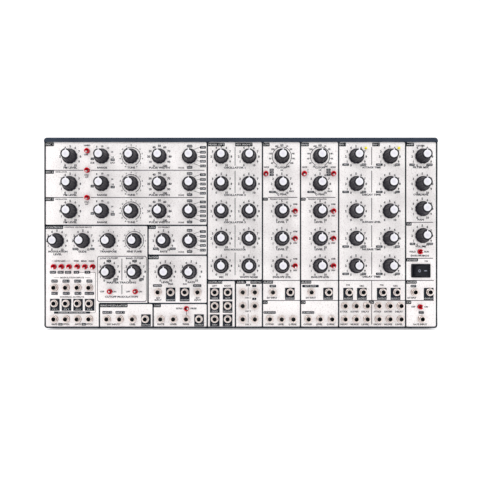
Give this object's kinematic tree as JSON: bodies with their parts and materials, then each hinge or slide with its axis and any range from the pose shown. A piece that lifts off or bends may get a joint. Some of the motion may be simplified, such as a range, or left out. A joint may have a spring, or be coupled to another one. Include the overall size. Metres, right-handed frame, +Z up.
{
  "type": "semi-modular synthesizer console",
  "caption": "Upright desktop synthesizer console: wide printed panel of fluted knobs, red-bushed toggles and patch sockets on a shallow dark metal case.",
  "frame": {"origin": "bottom centre of the whole object, at the underside of the feet", "axes": "+X to the right along the panel, +Y from the panel into the case, +Z up"},
  "size_m": [0.432, 0.08, 0.211],
  "materials": {
    "panel_enamel": "satin, printed",
    "case_enamel": "fine powder coat",
    "screen_ink": "screen print",
    "knob_black": "fine moulded grain",
    "cap_white": "satin",
    "bush_red": "satin",
    "lever_metal": "polished",
    "nut_nickel": "nickel plate",
    "zinc_steel": "zinc plate",
    "black_steel": "black oxide",
    "aluminium": "as cut",
    "board_green": "solder mask",
    "part_black": "moulded",
    "switch_black": "satin",
    "lamp_yellow": "clear tinted",
    "foot_rubber": "matt"
  },
  "bodies": {
    "case": {"front_panel": "panel_enamel", "case_shell": "case_enamel", "top_cover": "case_enamel", "rear_cover": "case_enamel", "panel_brackets": "aluminium", "case_screws": "black_steel", "rubber_feet": "foot_rubber", "control_board": "board_green", "voice_board": "board_green", "board_spacers": "zinc_steel", "board_components": "part_black", "potentiometer_bodies": "zinc_steel", "potentiometer_nuts": "nut_nickel", "jack_bodies": "nut_nickel", "jack_nuts": "nut_nickel", "toggle_switch_bodies": "bush_red", "other_toggle_levers": "lever_metal", "envelope_lamps": "lamp_yellow", "power_switch_housing": "switch_black", "supply_inlet": "part_black", "other_knobs": "knob_black"},
    "osc_a_depth_knob": {"osc_a_depth_knob": "knob_black"},
    "osc_a_range_knob": {"osc_a_range_knob": "knob_black"},
    "osc_a_tune_knob": {"osc_a_tune_knob": "knob_black"},
    "osc_a_width_knob": {"osc_a_width_knob": "knob_black"},
    "osc_a_wave_knob": {"osc_a_wave_knob": "knob_black"},
    "osc_b_depth_knob": {"osc_b_depth_knob": "knob_black"},
    "osc_b_range_knob": {"osc_b_range_knob": "knob_black"},
    "osc_b_tune_knob": {"osc_b_tune_knob": "knob_black"},
    "osc_b_width_knob": {"osc_b_width_knob": "knob_black"},
    "osc_b_wave_knob": {"osc_b_wave_knob": "knob_black"},
    "osc_c_depth_knob": {"osc_c_depth_knob": "knob_black"},
    "osc_c_range_knob": {"osc_c_range_knob": "knob_black"},
    "osc_c_tune_knob": {"osc_c_tune_knob": "knob_black"},
    "osc_c_width_knob": {"osc_c_width_knob": "knob_black"},
    "osc_c_wave_knob": {"osc_c_wave_knob": "knob_black"},
    "mix_left_osc_a_knob": {"mix_left_osc_a_knob": "knob_black"},
    "mix_left_osc_b_knob": {"mix_left_osc_b_knob": "knob_black"},
    "mix_left_osc_c_knob": {"mix_left_osc_c_knob": "knob_black"},
    "mix_left_ring_knob": {"mix_left_ring_knob": "knob_black"},
    "mix_left_noise_knob": {"mix_left_noise_knob": "knob_black"},
    "mix_right_osc_a_knob": {"mix_right_osc_a_knob": "knob_black"},
    "mix_right_osc_b_knob": {"mix_right_osc_b_knob": "knob_black"},
    "mix_right_osc_c_knob": {"mix_right_osc_c_knob": "knob_black"},
    "mix_right_ring_knob": {"mix_right_ring_knob": "knob_black"},
    "mix_right_noise_knob": {"mix_right_noise_knob": "knob_black"},
    "lowpass_cutoff_knob": {"lowpass_cutoff_knob": "knob_black"},
    "lowpass_peak_knob": {"lowpass_peak_knob": "knob_black"},
    "lowpass_mod_a_knob": {"lowpass_mod_a_knob": "knob_black"},
    "lowpass_mod_b_knob": {"lowpass_mod_b_knob": "knob_black"},
    "lowpass_contour_knob": {"lowpass_contour_knob": "knob_black"},
    "bandpass_cutoff_knob": {"bandpass_cutoff_knob": "knob_black"},
    "bandpass_peak_knob": {"bandpass_peak_knob": "knob_black"},
    "bandpass_mod_a_knob": {"bandpass_mod_a_knob": "knob_black"},
    "bandpass_mod_b_knob": {"bandpass_mod_b_knob": "knob_black"},
    "bandpass_contour_knob": {"bandpass_contour_knob": "knob_black"},
    "osc_a_toggle_lever": {"osc_a_toggle_lever": "lever_metal"},
    "osc_b_toggle_lever": {"osc_b_toggle_lever": "lever_metal"},
    "osc_c_toggle_lever": {"osc_c_toggle_lever": "lever_metal"},
    "power_rocker": {"power_rocker": "switch_black"}
  },
  "joints": [
    {"name": "osc_a_depth_turn", "type": "hinge", "parent": "case", "child": "osc_a_depth_knob", "pos_m": [-0.1875, -0.022, 0.1905], "axis": [0, 1, 0], "range_deg": [-150, 150]},
    {"name": "osc_a_range_turn", "type": "hinge", "parent": "case", "child": "osc_a_range_knob", "pos_m": [-0.1525, -0.022, 0.1905], "axis": [0, 1, 0], "range_deg": [-90, 90]},
    {"name": "osc_a_tune_turn", "type": "hinge", "parent": "case", "child": "osc_a_tune_knob", "pos_m": [-0.1205, -0.022, 0.1905], "axis": [0, 1, 0], "range_deg": [-150, 150]},
    {"name": "osc_a_width_turn", "type": "hinge", "parent": "case", "child": "osc_a_width_knob", "pos_m": [-0.0895, -0.022, 0.1905], "axis": [0, 1, 0], "range_deg": [-150, 150]},
    {"name": "osc_a_wave_turn", "type": "hinge", "parent": "case", "child": "osc_a_wave_knob", "pos_m": [-0.05625, -0.022, 0.1905], "axis": [0, 1, 0], "range_deg": [0, 180]},
    {"name": "osc_b_depth_turn", "type": "hinge", "parent": "case", "child": "osc_b_depth_knob", "pos_m": [-0.1875, -0.022, 0.1605], "axis": [0, 1, 0], "range_deg": [-150, 150]},
    {"name": "osc_b_range_turn", "type": "hinge", "parent": "case", "child": "osc_b_range_knob", "pos_m": [-0.1525, -0.022, 0.1605], "axis": [0, 1, 0], "range_deg": [-90, 90]},
    {"name": "osc_b_tune_turn", "type": "hinge", "parent": "case", "child": "osc_b_tune_knob", "pos_m": [-0.1205, -0.022, 0.1605], "axis": [0, 1, 0], "range_deg": [-150, 150]},
    {"name": "osc_b_width_turn", "type": "hinge", "parent": "case", "child": "osc_b_width_knob", "pos_m": [-0.0895, -0.022, 0.1605], "axis": [0, 1, 0], "range_deg": [-150, 150]},
    {"name": "osc_b_wave_turn", "type": "hinge", "parent": "case", "child": "osc_b_wave_knob", "pos_m": [-0.05625, -0.022, 0.1605], "axis": [0, 1, 0], "range_deg": [0, 180]},
    {"name": "osc_c_depth_turn", "type": "hinge", "parent": "case", "child": "osc_c_depth_knob", "pos_m": [-0.1875, -0.022, 0.1305], "axis": [0, 1, 0], "range_deg": [-150, 150]},
    {"name": "osc_c_range_turn", "type": "hinge", "parent": "case", "child": "osc_c_range_knob", "pos_m": [-0.1525, -0.022, 0.1305], "axis": [0, 1, 0], "range_deg": [-90, 90]},
    {"name": "osc_c_tune_turn", "type": "hinge", "parent": "case", "child": "osc_c_tune_knob", "pos_m": [-0.1205, -0.022, 0.1305], "axis": [0, 1, 0], "range_deg": [-150, 150]},
    {"name": "osc_c_width_turn", "type": "hinge", "parent": "case", "child": "osc_c_width_knob", "pos_m": [-0.0895, -0.022, 0.1305], "axis": [0, 1, 0], "range_deg": [-150, 150]},
    {"name": "osc_c_wave_turn", "type": "hinge", "parent": "case", "child": "osc_c_wave_knob", "pos_m": [-0.05625, -0.022, 0.1305], "axis": [0, 1, 0], "range_deg": [0, 180]},
    {"name": "mix_left_osc_a_turn", "type": "hinge", "parent": "case", "child": "mix_left_osc_a_knob", "pos_m": [-0.0215, -0.022, 0.1905], "axis": [0, 1, 0], "range_deg": [-150, 150]},
    {"name": "mix_left_osc_b_turn", "type": "hinge", "parent": "case", "child": "mix_left_osc_b_knob", "pos_m": [-0.0215, -0.022, 0.1605], "axis": [0, 1, 0], "range_deg": [-150, 150]},
    {"name": "mix_left_osc_c_turn", "type": "hinge", "parent": "case", "child": "mix_left_osc_c_knob", "pos_m": [-0.0215, -0.022, 0.1305], "axis": [0, 1, 0], "range_deg": [-150, 150]},
    {"name": "mix_left_ring_turn", "type": "hinge", "parent": "case", "child": "mix_left_ring_knob", "pos_m": [-0.0215, -0.022, 0.1005], "axis": [0, 1, 0], "range_deg": [-150, 150]},
    {"name": "mix_left_noise_turn", "type": "hinge", "parent": "case", "child": "mix_left_noise_knob", "pos_m": [-0.0215, -0.022, 0.0705], "axis": [0, 1, 0], "range_deg": [-150, 150]},
    {"name": "mix_right_osc_a_turn", "type": "hinge", "parent": "case", "child": "mix_right_osc_a_knob", "pos_m": [0.00875, -0.022, 0.1905], "axis": [0, 1, 0], "range_deg": [-150, 150]},
    {"name": "mix_right_osc_b_turn", "type": "hinge", "parent": "case", "child": "mix_right_osc_b_knob", "pos_m": [0.00875, -0.022, 0.1605], "axis": [0, 1, 0], "range_deg": [-150, 150]},
    {"name": "mix_right_osc_c_turn", "type": "hinge", "parent": "case", "child": "mix_right_osc_c_knob", "pos_m": [0.00875, -0.022, 0.1305], "axis": [0, 1, 0], "range_deg": [-150, 150]},
    {"name": "mix_right_ring_turn", "type": "hinge", "parent": "case", "child": "mix_right_ring_knob", "pos_m": [0.00875, -0.022, 0.1005], "axis": [0, 1, 0], "range_deg": [-150, 150]},
    {"name": "mix_right_noise_turn", "type": "hinge", "parent": "case", "child": "mix_right_noise_knob", "pos_m": [0.00875, -0.022, 0.0705], "axis": [0, 1, 0], "range_deg": [-150, 150]},
    {"name": "lowpass_cutoff_turn", "type": "hinge", "parent": "case", "child": "lowpass_cutoff_knob", "pos_m": [0.045, -0.022, 0.1905], "axis": [0, 1, 0], "range_deg": [-150, 150]},
    {"name": "lowpass_peak_turn", "type": "hinge", "parent": "case", "child": "lowpass_peak_knob", "pos_m": [0.045, -0.022, 0.1605], "axis": [0, 1, 0], "range_deg": [-150, 150]},
    {"name": "lowpass_mod_a_turn", "type": "hinge", "parent": "case", "child": "lowpass_mod_a_knob", "pos_m": [0.045, -0.022, 0.1305], "axis": [0, 1, 0], "range_deg": [-150, 150]},
    {"name": "lowpass_mod_b_turn", "type": "hinge", "parent": "case", "child": "lowpass_mod_b_knob", "pos_m": [0.045, -0.022, 0.1005], "axis": [0, 1, 0], "range_deg": [-150, 150]},
    {"name": "lowpass_contour_turn", "type": "hinge", "parent": "case", "child": "lowpass_contour_knob", "pos_m": [0.045, -0.022, 0.0705], "axis": [0, 1, 0], "range_deg": [-150, 150]},
    {"name": "bandpass_cutoff_turn", "type": "hinge", "parent": "case", "child": "bandpass_cutoff_knob", "pos_m": [0.087, -0.022, 0.1905], "axis": [0, 1, 0], "range_deg": [-150, 150]},
    {"name": "bandpass_peak_turn", "type": "hinge", "parent": "case", "child": "bandpass_peak_knob", "pos_m": [0.087, -0.022, 0.1605], "axis": [0, 1, 0], "range_deg": [-150, 150]},
    {"name": "bandpass_mod_a_turn", "type": "hinge", "parent": "case", "child": "bandpass_mod_a_knob", "pos_m": [0.087, -0.022, 0.1305], "axis": [0, 1, 0], "range_deg": [-150, 150]},
    {"name": "bandpass_mod_b_turn", "type": "hinge", "parent": "case", "child": "bandpass_mod_b_knob", "pos_m": [0.087, -0.022, 0.1005], "axis": [0, 1, 0], "range_deg": [-150, 150]},
    {"name": "bandpass_contour_turn", "type": "hinge", "parent": "case", "child": "bandpass_contour_knob", "pos_m": [0.087, -0.022, 0.0705], "axis": [0, 1, 0], "range_deg": [-150, 150]},
    {"name": "osc_a_toggle_throw", "type": "hinge", "parent": "case", "child": "osc_a_toggle_lever", "pos_m": [-0.1685, -0.0195, 0.1965], "axis": [-1, 0, 0], "range_deg": [0, 22]},
    {"name": "osc_b_toggle_throw", "type": "hinge", "parent": "case", "child": "osc_b_toggle_lever", "pos_m": [-0.1685, -0.0195, 0.17525], "axis": [-1, 0, 0], "range_deg": [0, 22]},
    {"name": "osc_c_toggle_throw", "type": "hinge", "parent": "case", "child": "osc_c_toggle_lever", "pos_m": [-0.1685, -0.0195, 0.14525], "axis": [-1, 0, 0], "range_deg": [0, 22]},
    {"name": "power_rocker_tilt", "type": "hinge", "parent": "case", "child": "power_rocker", "pos_m": [0.1975, -0.0208, 0.065], "axis": [0, 0, -1], "range_deg": [0, 28]}
  ]
}
